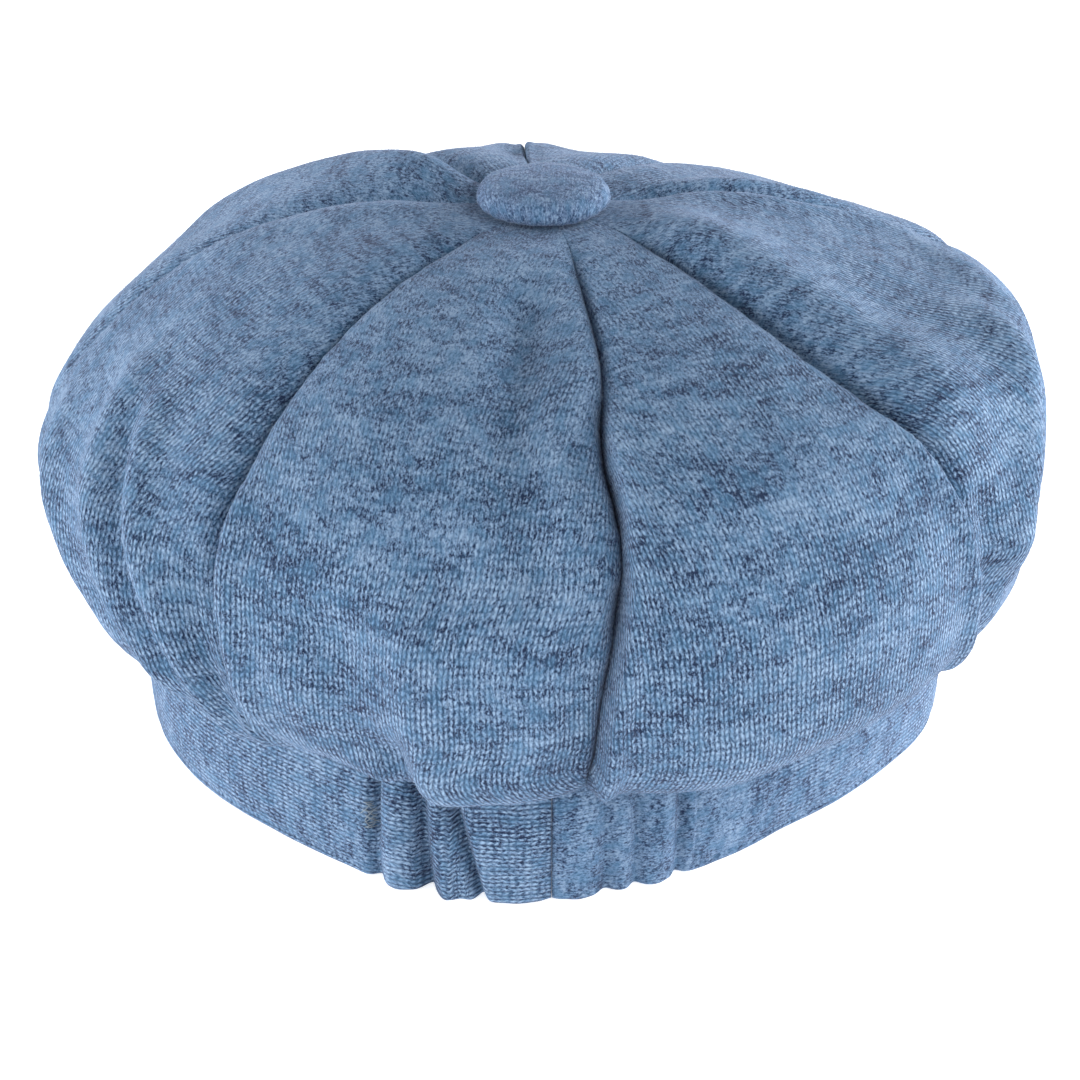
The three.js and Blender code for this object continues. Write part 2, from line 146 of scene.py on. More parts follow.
# Crown: the shape that the shells of the panels have, in millimetres
crown = dict(
    cloth=2.2, seamGap=0.1, rimSeat=3.0, tieFrom=0.8, levelFrom=0.9, riseFrom=0.04, riseTo=0.16,
    bulgePower=2.4, seamReach=3.0, creaseDepth=1.2, creaseReach=0.6,
    rollPlace=8.0, rollWidth=7.0, foldSoftness=0.11, foldWidest=0.3,
    puckerSize=3.4, puckerHeight=0.38, puckerReach=6.0, puckerLength=250.0, puckerSlope=0.35, puckerFrom=0.8,
    dentSize=24.0, dentHeight=0.9, rumpleSize=8.0, rumpleHeight=0.22, smoothBySeam=5.0,
    allowance=5.0, allowanceHeight=0.8, innerShare=0.6, crowding=0.75,
    acrossSteps=72, downSteps=120,
)
reachTable = columns("share back right front left forward", [
    (0.00, 5, 5, 5, 5, 8), (0.10, 24, 24, 24, 24, 8), (0.22, 48, 50, 48, 50, 8), (0.34, 71, 79, 72, 75, 8),
    (0.46, 90, 103.5, 93, 95, 7), (0.58, 101, 111, 107, 110.5, 6), (0.70, 104, 111.5, 112, 111, 4),
    (0.82, 101, 106.5, 109, 103, 2), (0.92, 94, 101, 103, 94.5, 0), (1.00, 82, 91, 96, 90, 0),
])
heightTable = columns("share back right front left", [
    (0.00, 124.5, 124.5, 124.5, 124.5), (0.10, 123.0, 124.0, 124.5, 124.5),
    (0.22, 118.0, 119.5, 117.5, 121.5), (0.34, 109.5, 110.8, 106.0, 112.0),
    (0.46, 96.5, 102.3, 92.0, 98.0), (0.58, 79.5, 85.0, 76.0, 80.0), (0.70, 61.5, 65.0, 60.0, 65.0),
    (0.82, 44.0, 44.0, 45.0, 47.5), (0.92, 33.1, 33.8, 35.0, 34.8), (1.00, 31.3, 31.3, 31.3, 31.3),
])
seamShares = [0.05, 0.30, 0.62, 1.00]
dipShares = [0.00, 0.30, 0.62, 0.88]
bulgeShares = [0.00, 0.62, 1.00]
# each panel lies between the seam of its own name and the one before it: where that seam runs, how far
# the panel's middle stands out, how deep its seam dips, and the rolls of cloth beside its two seams
panels = rowsOf(
    "name topSeam shoulderSeam sideSeam lowSeam topBulge sideBulge lowBulge"
    " topDip sideDip lowDip startRoll endRoll", [
        ("back", 18, 12.5, 8.5, 5, 1.5, 3.0, 3.0, 1.6, 3.8, 0.6, 0, 0),
        ("back_right", 58, 47.5, 56.5, 69, 1.0, 3.0, 3.5, 1.6, 2.8, 1.2, 0, 0),
        ("right", 112, 108, 111, 108, 1.5, 3.4, 3.0, 2.4, 1.6, 1.0, 0.8, 0.6),
        ("front_right", 156, 150, 146, 143, 1.0, 2.5, 3.0, 1.2, 2.0, 1.0, 0.6, 0.6),
        ("front", 188, 184, 182, 181, 0.6, 5.0, 3.0, 0.2, 2.0, 1.0, 0.6, 0.6),
        ("front_left", 222, 222, 226, 229, 2.5, 4.0, 3.0, 1.8, 2.0, 1.0, 0.6, 0.6),
        ("left", 258, 264, 274, 276, 2.5, 3.0, 3.0, 1.8, 2.0, 1.0, 0.6, 1.0),
        ("back_left", 313, 317, 319, 322, 1.5, 3.0, 3.0, 0.9, 2.4, -3.0, 2.0, 0.6),
    ])
# ridges and dents: shares down and across the panel where each starts and ends, width and height in
# millimetres, sideways bow, and how far its crest leans over towards one side
folds = rowsOf("panel start startAcross end endAcross width height bow lean", [
    ("right", 0.12, 0.25, 0.48, 0.15, 10, 3.0, 0, 0),
    ("right", 0.12, 0.90, 0.37, 0.92, 4.5, 2.2, 0, 0.3),
    ("right", 0.36, 0.84, 0.50, 0.40, 10, 2.6, 0, 0),
    ("right", 0.42, 0.46, 0.74, 0.15, 5.5, 4.0, -0.05, 0.4),
    ("right", 0.47, 0.66, 0.72, 0.34, 7, -4.5, 0, 0),
    ("right", 0.50, 0.90, 0.68, 0.76, 14, 2.6, 0, 0),
    ("right", 0.58, 0.065, 0.88, 0.065, 4.5, -3.0, 0, 0),
    ("back_right", 0.46, 0.965, 0.90, 0.965, 2.5, 2.8, 0, 0.4),
    ("back_right", 0.36, 0.035, 0.92, 0.035, 2.4, 3.4, 0, -0.35),
    ("back", 0.38, 0.94, 0.90, 0.94, 5, -2.2, 0, 0),
    ("back", 0.16, 0.68, 0.58, 0.78, 6.5, -4.4, 0, 0),
    ("back", 0.50, 0.05, 0.84, 0.08, 3.5, 2.6, 0, -0.3),
    ("back", 0.62, 0.33, 0.88, 0.38, 9, -3.6, 0, 0),
    ("back", 0.80, 0.20, 0.97, 0.25, 12, -2.4, 0, 0),
    ("back", 0.80, 0.49, 0.95, 0.47, 5, -4.5, 0, 0),
    ("back", 0.60, 0.56, 0.90, 0.59, 7, 3.2, 0, -0.5),
    ("back_right", 0.80, 0.30, 0.93, 0.30, 16, 1.6, 0, 0),
    ("right", 0.66, 0.30, 0.76, 0.42, 9, -2.6, 0, 0),
    ("back_left", 0.46, 0.65, 0.93, 0.91, 4.5, 3.4, 0.055, 0),
    ("back_left", 0.45, 0.48, 0.86, 0.74, 5, 3.0, 0, 0),
    ("back_left", 0.50, 0.60, 0.80, 0.80, 3.5, -2.4, 0.02, 0),
    ("back_left", 0.56, 0.94, 0.86, 0.95, 4, -2.2, 0, 0),
    ("back_left", 0.52, 0.22, 0.86, 0.50, 6, 2.8, 0, 0),
    ("left", 0.08, 0.35, 0.44, 0.35, 15, 4.5, 0, 0),
    ("front_left", 0.22, 0.06, 0.44, 0.08, 8, 3.8, 0, 0),
    ("front_left", 0.50, 0.30, 0.90, 0.60, 8, 2.2, 0.05, 0),
    ("front", 0.20, 0.96, 0.46, 0.97, 7.5, 4.0, 0, 0),
    ("front", 0.45, 0.70, 0.90, 0.45, 9, 2.4, 0, 0),
    ("front_right", 0.10, 0.55, 0.34, 0.60, 14, 1.0, 0, 0),
    ("front_right", 0.14, 0.12, 0.34, 0.18, 4, 2.0, 0, 0),
    ("front_right", 0.50, 0.60, 0.92, 0.40, 8, 2.2, 0, 0),
])


# how a seam strays to either side on its way down, in degrees
strays = {
    "back": columns("share degrees", [
        (0.04, 0), (0.13, -1.7), (0.22, -1.1), (0.28, -0.9), (0.36, -1.9), (0.41, -1.5), (0.45, -0.5),
        (0.50, 0.4), (0.55, 0.7), (0.60, 0.4), (0.66, 0.2), (0.70, -0.1), (0.76, -0.3), (0.84, 0), (1, 0),
    ]),
    "back_right": columns("share degrees", [(0.15, 0), (0.28, 1.8), (0.40, 1.6), (0.50, 0), (1, 0)]),
}
# stretches of seam that the cloth has closed over: which seam, where, how deep and how wide
crevices = rowsOf("seam start end depth reach", [
    ("back", 0.16, 0.34, 1.0, 0.9), ("back", 0.34, 0.49, 3.4, 1.5), ("back", 0.49, 0.56, 1.2, 0.9),
    ("back", 0.565, 0.63, 3.4, 1.9), ("back", 0.63, 0.90, 1.6, 1.1), ("back_right", 0.20, 0.48, 2.4, 1.2),
    ("back_right", 0.48, 0.80, 1.4, 1.0), ("back_left", 0.12, 0.60, 0.8, 0.9),
    ("front", 0.08, 0.46, -1.8, 1.6),  # filled instead, where a roll of cloth crosses the seam
])
creviceFade = 0.02  # share of the way down over which a crevice starts or ends


def crownBase(azimuth, share):
    angle = np.radians(azimuth)
    weights = dict(
        back=np.maximum(np.cos(angle), 0) ** 2, right=np.maximum(np.sin(angle), 0) ** 2,
        front=np.maximum(-np.cos(angle), 0) ** 2, left=np.maximum(-np.sin(angle), 0) ** 2,
    )
    shares = reachTable["share"]
    free = sum(weights[side] * smoothCurve(shares, reachTable[side], share) for side in weights)
    edge = sum(weights[side] * reachTable[side][-1] for side in weights)
    height = sum(weights[side] * smoothCurve(shares, heightTable[side], share) for side in weights)
    tie = smoothStep(crown["tieFrom"], 1, share)
    reach = free + tie * (bandRadius(azimuth) - crown["rimSeat"] - edge)
    forward = smoothCurve(shares, reachTable["forward"], share)
    return np.stack([reach * np.sin(angle), forward - reach * np.cos(angle), height], -1)


def unit(vectors):
    return vectors / (np.linalg.norm(vectors, axis=-1, keepdims=True) + 1e-12)


def seamAzimuth(row, share):
    values = [row["topSeam"], row["shoulderSeam"], row["sideSeam"], row["lowSeam"]]
    azimuth = smoothCurve(seamShares, values, np.maximum(share, seamShares[0]))
    if row["name"] in strays:
        stray = strays[row["name"]]
        azimuth = azimuth + np.interp(share, stray["share"], stray["degrees"])
    return azimuth


def seamDip(row, share):
    depths = [row["topDip"], row["topDip"], row["sideDip"], row["lowDip"]]
    return smoothCurve(dipShares, depths, np.minimum(share, dipShares[-1]))


# Depth of the crevice of a seam at a distance from it
def creviceDepth(row, share, fromSeam):
    depth = crown["creaseDepth"] * np.exp(-fromSeam / crown["creaseReach"])
    for crevice in crevices:
        if crevice["seam"] != row["name"]:
            continue
        ends = smoothStep(crevice["start"] - creviceFade, crevice["start"] + creviceFade, share)
        ends = ends * (1 - smoothStep(crevice["end"] - creviceFade, crevice["end"] + creviceFade, share))
        depth = depth + crevice["depth"] * bell(fromSeam / crevice["reach"]) * ends
    return depth


# Height and sideways lean of the folds of a panel
def foldRelief(name, across, share, width):
    height = np.zeros_like(across)
    lean = np.zeros_like(across)
    for fold in folds:
        if fold["panel"] != name:
            continue
        along = np.clip((share - fold["start"]) / (fold["end"] - fold["start"]), 0, 1)
        middle = fold["startAcross"] + (fold["endAcross"] - fold["startAcross"]) * along
        middle = middle + fold["bow"] * 4 * along * (1 - along)
        reach = np.minimum(fold["width"], crown["foldWidest"] * width)
        half = crown["foldSoftness"] / 2
        ends = smoothStep(fold["start"] - half, fold["start"] + half, share)
        ends = ends * (1 - smoothStep(fold["end"] - half, fold["end"] + half, share))
        one = fold["height"] * bell((across - middle) * width / reach) * ends
        height += one
        lean += fold["lean"] * one
    return height, lean


# Points of a panel: layer 0 is its outer face and layer 1 its inner face
def panelPoints(index, across, share, layer):
    row = panels[index]
    before = panels[index - 1]
    start = seamAzimuth(before, share) - (360 if index == 0 else 0)
    end = seamAzimuth(row, share)
    middle = crownBase((start + end) / 2, share)
    axisDistance = np.hypot(middle[..., 0], middle[..., 1] - reachTable["forward"][0])
    width = np.radians(end - start) * axisDistance
    clearance = np.degrees(crown["seamGap"] / 2 / axisDistance)
    azimuth = start + clearance + (end - start - 2 * clearance) * across
    base = crownBase(azimuth, share)
    around = unit(crownBase(azimuth + 0.5, share) - crownBase(azimuth - 0.5, share))
    lower = crownBase(azimuth, np.minimum(share + 1e-3, 1))
    down = unit(lower - crownBase(azimuth, np.maximum(share - 1e-3, 0)))
    normal = unit(np.cross(down, around))
    fromSeam = np.minimum(across, 1 - across) * width
    bulge = smoothCurve(bulgeShares, [row["topBulge"], row["sideBulge"], row["lowBulge"]], share)
    bulge = bulge * (1 - np.abs(2 * across - 1) ** crown["bulgePower"])
    nearStart = across < 0.5
    seamDepth = np.where(nearStart, seamDip(before, share), seamDip(row, share))
    startCrevice = creviceDepth(before, share, fromSeam)
    crevice = np.where(nearStart, startCrevice, creviceDepth(row, share, fromSeam))
    dip = bell(fromSeam / crown["seamReach"]) * seamDepth + crevice
    height, lean = foldRelief(row["name"], across, share, width)
    rollPlace = np.minimum(crown["rollPlace"], crown["foldWidest"] * width)
    height = height + row["startRoll"] * bell((across * width - rollPlace) / crown["rollWidth"])
    height = height + row["endRoll"] * bell(((1 - across) * width - rollPlace) / crown["rollWidth"])
    free = smoothStep(crown["riseFrom"], crown["riseTo"], share)
    free = free * (1 - smoothStep(crown["levelFrom"], 1, share))
    big = (bulge - dip + height) * free
    # puckers run across the seam, each seam of each panel with its own
    ownPlace = np.where(nearStart, 0, 50.0) + index * 9
    line = onLine(crown["puckerLength"] * share, fromSeam * crown["puckerSlope"], ownPlace)
    pucker = crown["puckerHeight"] * softNoise(line, crown["puckerSize"], 3)
    pucker = pucker * bell(fromSeam / crown["puckerReach"]) * (1 - bell(fromSeam / crown["puckerFrom"]))
    dents = crown["dentHeight"] * softNoise(base, crown["dentSize"], 11)
    rumples = crown["rumpleHeight"] * softNoise(base, crown["rumpleSize"], 12)
    awayFromSeam = 1 - bell(fromSeam / crown["smoothBySeam"])
    fine = (pucker + (dents + rumples) * awayFromSeam) * free
    if layer == 0:
        return base + normal * (big + fine)[..., None] + around * (lean * free)[..., None]
    folded = crown["allowanceHeight"] * (1 - smoothStep(crown["allowance"] - 1, crown["allowance"], fromSeam))
    depth = big + fine * crown["innerShare"] - crown["cloth"] - folded * free
    return base + normal * depth[..., None] + around * (lean * free)[..., None]


# Lengths along one direction of a grid of points, from its start
def runningLength(points, axis):
    steps = np.linalg.norm(np.diff(points, axis=axis), axis=-1)
    pad = [(0, 0)] * steps.ndim
    pad[axis] = (1, 0)
    return np.pad(np.cumsum(steps, axis=axis), pad)


def gridNormals(points):
    return unit(np.cross(np.gradient(points, axis=1), np.gradient(points, axis=0)))


# The frame's place of the cap's own origin, found from the button, which stands on the crown's axis
buttonLow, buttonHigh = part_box("top_button")
capPlace = np.array([
    (buttonLow.x + buttonHigh.x) / 2, (buttonLow.y + buttonHigh.y) / 2 - reachTable["forward"][0] * mm, 0.0,
])


def meshObject(name, points, faces, clothPlaces=None):
    mesh = bpy.data.meshes.new(name)
    points = np.asarray(points, float).reshape(-1, 3) * mm + capPlace
    faces = np.asarray(faces, np.int32)
    count, corners = faces.shape
    mesh.vertices.add(len(points))
    mesh.vertices.foreach_set("co", points.ravel())
    mesh.loops.add(count * corners)
    mesh.loops.foreach_set("vertex_index", faces.ravel())
    mesh.polygons.add(count)
    mesh.polygons.foreach_set("loop_start", np.arange(0, count * corners, corners, dtype=np.int32))
    mesh.polygons.foreach_set("use_smooth", np.ones(count, bool))
    mesh.update(calc_edges=True)
    if clothPlaces is not None:
        layer = mesh.uv_layers.new(name="cloth")
        layer.data.foreach_set("uv", (clothPlaces.reshape(-1, 2) * mm)[faces.ravel()].ravel())
    mesh.validate()
    piece = bpy.data.objects.new(name, mesh)
    bpy.context.scene.collection.objects.link(piece)
    return piece


# Faces of a closed body between an outer and an inner grid of the same shape
def shellFaces(steps, rows):
    out = np.arange(steps * rows).reshape(steps, rows)
    into = out + steps * rows
    faces = [
        np.stack([out[:-1, :-1], out[:-1, 1:], out[1:, 1:], out[1:, :-1]], -1).reshape(-1, 4),
        np.stack([into[:-1, :-1], into[1:, :-1], into[1:, 1:], into[:-1, 1:]], -1).reshape(-1, 4),
        np.stack([out[:-1, 0], out[1:, 0], into[1:, 0], into[:-1, 0]], -1),
        np.stack([out[1:, -1], out[:-1, -1], into[:-1, -1], into[1:, -1]], -1),
        np.stack([out[0, 1:], out[0, :-1], into[0, :-1], into[0, 1:]], -1),
        np.stack([out[-1, :-1], out[-1, 1:], into[-1, 1:], into[-1, :-1]], -1),
    ]
    return np.concatenate(faces)


# Faces of a strip whose section is a closed loop; its two ends stay open
def sweptFaces(steps, ring):
    at = np.arange(steps * ring).reshape(steps, ring)
    beside = np.roll(at, -1, axis=1)
    return np.stack([at[:-1], beside[:-1], beside[1:], at[1:]], -1).reshape(-1, 4)


# Caps over open loops of a piece, given by their points
def closeLoops(piece, *loops):
    sheet = bmesh.new()
    sheet.from_mesh(piece.data)
    sheet.verts.ensure_lookup_table()
    for loop in loops:
        sheet.faces.new([sheet.verts[i] for i in loop])
    bmesh.ops.recalc_face_normals(sheet, faces=sheet.faces)
    sheet.to_mesh(piece.data)
    sheet.free()


def closeEnds(piece, steps, ring):
    closeLoops(piece, range(ring - 1, -1, -1), range((steps - 1) * ring, steps * ring))


# A colour as seen on screen, 0 to 255, turned into the linear one that a shader takes
def fromScreen(red, green, blue):
    parts = np.array([red, green, blue]) / 255
    linear = np.where(parts <= 0.04045, parts / 12.92, ((parts + 0.055) / 1.055) ** 2.4)
    return tuple(float(part) for part in linear) + (1.0,)


# Knitted cloth: wales and courses in real sizes, melange yarn, a brushed nap, painted shade in the grooves
knit = dict(
    wale=2.2, course=1.65, slant=0.75, betweenWales=0.14, betweenCourses=0.28, legRound=0.6,
    wander=0.22, wanderSize=7.0, jitter=0.14, jitterSize=1.6, courseWander=1.6,
    dark=(32, 48, 78), middle=(114, 146, 182), light=(160, 190, 222), contrast=0.125,
    cool=(92, 142, 182), coolAcross=3.2, coolAlong=4.5, coolFrom=0.46, coolTo=0.66, coolMost=0.55,
    # painted shade in the grooves between the wales: its dark tone, its strength, the mean stitch depth it
    # keeps, and its share in the yarn tone
    paintedGrooveShade=(18, 28, 48), paintedGrooveShadeStrength=0.85, paintedGrooveShadeMean=0.58, paintedGrooveShadeInYarn=0.30,
    stitchRelief=0.45, fibreRelief=0.16, fibreAcross=0.25, fibreAlong=0.55,
    brushedSize=24.0, brushedSpread=0.9, bareFrom=40.0, bareTo=150.0, bareLeast=0.1, bareMost=0.6,
    roughness=0.95, specular=0.15, sheen=0.25, sheenRoughness=0.5, sheenTint=(188, 200, 232),
)
# the button's cloth is brushed all over and a little paler
buttonChanges = dict(bareMost=0.2, dark=(50, 74, 108), middle=(112, 140, 178))
# flecks of the melange yarn: sizes across and along the wales in millimetres, strength and fineness
melange = rowsOf("across along strength detail", [
    (0.30, 0.50, 0.42, 1), (0.50, 1.20, 0.44, 1), (1.30, 1.30, 0.26, 1),
    (6.50, 3.20, 0.26, 1), (20.0, 11.0, 0.20, 1),
])


# Short ways to write the nodes of a cloth, each giving the socket that holds its result
def clothNodes(tree):
    uv = tree.nodes.new("ShaderNodeUVMap")
    uv.uv_map = "cloth"
    parts = tree.nodes.new("ShaderNodeSeparateXYZ")
    tree.links.new(uv.outputs[0], parts.inputs[0])

    def join(value, socket):
        if isinstance(value, bpy.types.NodeSocket):
            tree.links.new(value, socket)
        else:
            socket.default_value = value

    def maths(operation, first, second=0.0, third=0.0):
        node = tree.nodes.new("ShaderNodeMath")
        node.operation = operation
        for value, socket in zip((first, second, third), node.inputs):
            join(value, socket)
        return node.outputs[0]

    def noise(across, along, seed, detail=2.0):
        mapping = tree.nodes.new("ShaderNodeMapping")
        mapping.inputs["Scale"].default_value = (1 / (across * mm), 1 / (along * mm), 1)
        mapping.inputs["Location"].default_value = (0, 0, seed)
        tree.links.new(uv.outputs[0], mapping.inputs["Vector"])
        texture = tree.nodes.new("ShaderNodeTexNoise")
        texture.inputs["Scale"].default_value = 1.0
        texture.inputs["Detail"].default_value = detail
        tree.links.new(mapping.outputs[0], texture.inputs["Vector"])
        return texture.outputs[0]

    def stretched(value, low, high, least=0.0, most=1.0):
        node = tree.nodes.new("ShaderNodeMapRange")
        for socket, given in zip(node.inputs, (value, low, high, least, most)):
            join(given, socket)
        return node.outputs[0]

    def mixed(share, first, second):
        node = tree.nodes.new("ShaderNodeMix")
        node.data_type = "RGBA"
        join(share, node.inputs["Factor"])
        join(first, node.inputs["A"])
        join(second, node.inputs["B"])
        return node.outputs["Result"]

    def ramp(value, stops):
        node = tree.nodes.new("ShaderNodeValToRGB")
        elements = node.color_ramp.elements
        for i, (position, colour) in enumerate(stops):
            stop = elements[i] if i < 2 else elements.new(position)
            stop.position = position
            stop.color = fromScreen(*colour)
        tree.links.new(value, node.inputs[0])
        return node.outputs[0]

    return SimpleNamespace(
        across=parts.outputs[0], down=parts.outputs[1],
        maths=maths, noise=noise, stretched=stretched, mixed=mixed, ramp=ramp,
    )


# Height of the stitches: each is two slanting legs, with a deep groove between the wales
def knitStitches(nodes, look):
    maths = nodes.maths
    turn = 2 * math.pi
    wander = maths("SUBTRACT", nodes.noise(look["wanderSize"], look["wanderSize"], 1.5), 0.5)
    jitter = maths("SUBTRACT", nodes.noise(look["jitterSize"], look["jitterSize"], 2.5), 0.5)
    loose = maths("MULTIPLY_ADD", wander, 2 * look["wander"], maths("MULTIPLY", jitter, 2 * look["jitter"]))
    wale = maths("ADD", maths("DIVIDE", nodes.across, look["wale"] * mm), loose)
    course = maths("DIVIDE", nodes.down, look["course"] * mm)
    course = maths("MULTIPLY_ADD", loose, look["courseWander"], course)
    fromMiddle = maths("ABSOLUTE", maths("SUBTRACT", maths("FRACT", wale), 0.5))
    legs = maths("MULTIPLY_ADD", maths("COSINE", maths("MULTIPLY", wale, 2 * turn)), -0.5, 0.5)
    legs = maths("POWER", legs, look["legRound"])
    between = maths("COSINE", maths("MULTIPLY", wale, turn))
    between = maths("MULTIPLY_ADD", between, -look["betweenWales"], 1 - look["betweenWales"])
    rise = maths("MULTIPLY_ADD", fromMiddle, 2 * look["slant"], course)
    ends = maths("COSINE", maths("MULTIPLY", rise, turn))
    ends = maths("MULTIPLY_ADD", ends, look["betweenCourses"], 1 - look["betweenCourses"])
    return maths("MULTIPLY", maths("MULTIPLY", legs, ends), between)


# How bare of nap the cloth is: barest well down from the button, and in patches
def knitBareness(nodes, look):
    patchy = nodes.maths("SUBTRACT", nodes.noise(look["brushedSize"], look["brushedSize"], 7.5, 3), 0.5)
    down = nodes.stretched(nodes.down, look["bareFrom"] * mm, look["bareTo"] * mm)
    bare = nodes.maths("MULTIPLY_ADD", patchy, 2 * look["brushedSpread"], down)
    return nodes.stretched(bare, 0.0, 1.0, look["bareLeast"], look["bareMost"])


# Colour of the melange yarn, with painted shade in the grooves between the wales
def knitColour(nodes, look, loops, bare):
    maths = nodes.maths
    yarn = 0.5 * (1 - sum(row["strength"] for row in melange))
    for i, row in enumerate(melange):
        flecks = nodes.noise(row["across"], row["along"], 3.2 + 2.9 * i, row["detail"])
        yarn = maths("MULTIPLY_ADD", flecks, row["strength"], yarn)
    # painted shade: the yarn tone is darker in the grooves between the wales and lighter on the stitches,
    # where the cloth is bare of nap
    shadeInGrooves = maths("MULTIPLY", maths("SUBTRACT", loops, 1 - look["paintedGrooveShadeMean"]), bare)
    yarn = maths("MULTIPLY_ADD", shadeInGrooves, look["paintedGrooveShadeInYarn"], yarn)
    spread = look["contrast"]
    stops = [(0.5 - spread, look["dark"]), (0.5 + spread, look["light"]), (0.5, look["middle"])]
    dyed = nodes.ramp(yarn, stops)
    cooler = nodes.noise(look["coolAcross"], look["coolAlong"], 14.0, 2)
    cooler = nodes.stretched(cooler, look["coolFrom"], look["coolTo"], 0.0, look["coolMost"])
    dyed = nodes.mixed(cooler, dyed, fromScreen(*look["cool"]))
    # painted shade in the grooves between the wales, mixed in by the groove's depth; brushed cloth hides the
    # grooves but is as dark as the rest on the whole
    depth = maths("SUBTRACT", 1 - look["paintedGrooveShadeMean"], loops)
    depth = maths("MULTIPLY_ADD", depth, bare, look["paintedGrooveShadeMean"])
    return nodes.mixed(maths("MULTIPLY", depth, look["paintedGrooveShadeStrength"]), dyed, fromScreen(*look["paintedGrooveShade"]))


def knitMaterial(name, changes=None):
    look = dict(knit, **(changes or {}))
    material = bpy.data.materials.new(name)
    material.use_nodes = True
    tree = material.node_tree
    shader = tree.nodes["Principled BSDF"]
    nodes = clothNodes(tree)
    loops = knitStitches(nodes, look)
    bare = knitBareness(nodes, look)
    tree.links.new(knitColour(nodes, look, loops, bare), shader.inputs["Base Color"])

    fibreBump = tree.nodes.new("ShaderNodeBump")
    fibreBump.inputs["Distance"].default_value = look["fibreRelief"] * mm
    tree.links.new(nodes.noise(look["fibreAcross"], look["fibreAlong"], 12.7, 2), fibreBump.inputs["Height"])
    stitchBump = tree.nodes.new("ShaderNodeBump")
    stitchBump.inputs["Distance"].default_value = look["stitchRelief"] * mm
    tree.links.new(nodes.maths("MULTIPLY", loops, bare), stitchBump.inputs["Height"])
    tree.links.new(fibreBump.outputs[0], stitchBump.inputs["Normal"])
    tree.links.new(stitchBump.outputs[0], shader.inputs["Normal"])

    shader.inputs["Roughness"].default_value = look["roughness"]
    shader.inputs["Specular IOR Level"].default_value = look["specular"]
    shader.inputs["Sheen Weight"].default_value = look["sheen"]
    shader.inputs["Sheen Roughness"].default_value = look["sheenRoughness"]
    shader.inputs["Sheen Tint"].default_value = fromScreen(*look["sheenTint"])
    return material


# Loose fibre or thread: two tones, mottled at a size in millimetres
def mottledMaterial(name, look):
    material = bpy.data.materials.new(name)
    material.use_nodes = True
    tree = material.node_tree
    shader = tree.nodes["Principled BSDF"]
    place = tree.nodes.new("ShaderNodeTexCoord")
    texture = tree.nodes.new("ShaderNodeTexNoise")
    texture.inputs["Scale"].default_value = 1 / (look["mottle"] * mm)
    texture.inputs["Detail"].default_value = look["mottleDetail"]
    tree.links.new(place.outputs["Object"], texture.inputs["Vector"])
    ramp = tree.nodes.new("ShaderNodeValToRGB")
    tones = zip(ramp.color_ramp.elements, look["tonesAt"], (look["dark"], look["light"]))
    for stop, position, tone in tones:
        stop.position = position
        stop.color = fromScreen(*tone)
    tree.links.new(texture.outputs[0], ramp.inputs[0])
    tree.links.new(ramp.outputs[0], shader.inputs["Base Color"])
    shader.inputs["Roughness"].default_value = look["roughness"]
    shader.inputs["Sheen Weight"].default_value = look["sheen"]
    return material


# Nap: short fibres standing off the brushed cloth, each a closed sliver
nap = dict(
    shortest=0.5, longest=1.8, shortShare=1.5, thickness=0.04, lowest=8.0, highest=65.0, lowShare=1.6,
    sunk=0.15, floor=0.02, perPanel=15000,
    dark=(64, 88, 124), light=(152, 176, 208), tonesAt=(0.35, 0.65), mottle=1.1, mottleDetail=1.0,
    roughness=0.9, sheen=0.3,
)


# Fibres on a grid of points, spread evenly over its area
def napOn(name, points, count, seed, material):
    random = np.random.default_rng(seed)
    normals = gridNormals(points)
    along = points[1:, :-1] - points[:-1, :-1]
    beside = points[:-1, 1:] - points[:-1, :-1]
    area = np.linalg.norm(np.cross(along, beside), axis=-1).ravel()
    cells = random.choice(area.size, size=count, p=area / area.sum())
    i, j = np.divmod(cells, area.reshape(along.shape[:2]).shape[1])
    s, t = random.random((2, count, 1))
    corner = points[i, j]
    root = corner + along[i, j] * s + beside[i, j] * t
    normal = normals[i, j]
    tangent = unit(along[i, j])
    other = np.cross(normal, tangent)
    turn = random.random((count, 1)) * 2 * math.pi
    lift = nap["lowest"] + (nap["highest"] - nap["lowest"]) * random.random((count, 1)) ** nap["lowShare"]
    lift = np.radians(lift)
    flat = tangent * np.cos(turn) + other * np.sin(turn)
    way = flat * np.cos(lift) + normal * np.sin(lift)
    share = random.random((count, 1)) ** nap["shortShare"]
    length = nap["shortest"] + (nap["longest"] - nap["shortest"]) * share
    tip = root + way * length
    root = root - normal * nap["sunk"]
    aside = unit(np.cross(way, normal))
    above = np.cross(aside, way)
    corners = []
    for angle in (90, 210, 330):
        spread = aside * math.cos(math.radians(angle)) + above * math.sin(math.radians(angle))
        corners.append(root + spread * nap["thickness"] / 2)
    vertices = np.stack(corners + [tip], axis=1).reshape(-1, 3)
    vertices[:, 2] = np.maximum(vertices[:, 2], nap["floor"])
    first = np.arange(count)[:, None] * 4
    sliver = np.array([[0, 1, 3], [1, 2, 3], [2, 0, 3], [2, 1, 0]])
    faces = (first[:, None] + sliver[None]).reshape(-1, 3)
    piece = meshObject(name, vertices, faces)
    piece.data.materials.append(material)
    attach(piece, "root")
    return piece


# Shares from 0 to 1, crowded towards both ends
def fineShares(count, crowding):
    even = np.linspace(0, 1, count + 1)
    return even - crowding * np.sin(2 * np.pi * even) / (2 * np.pi)


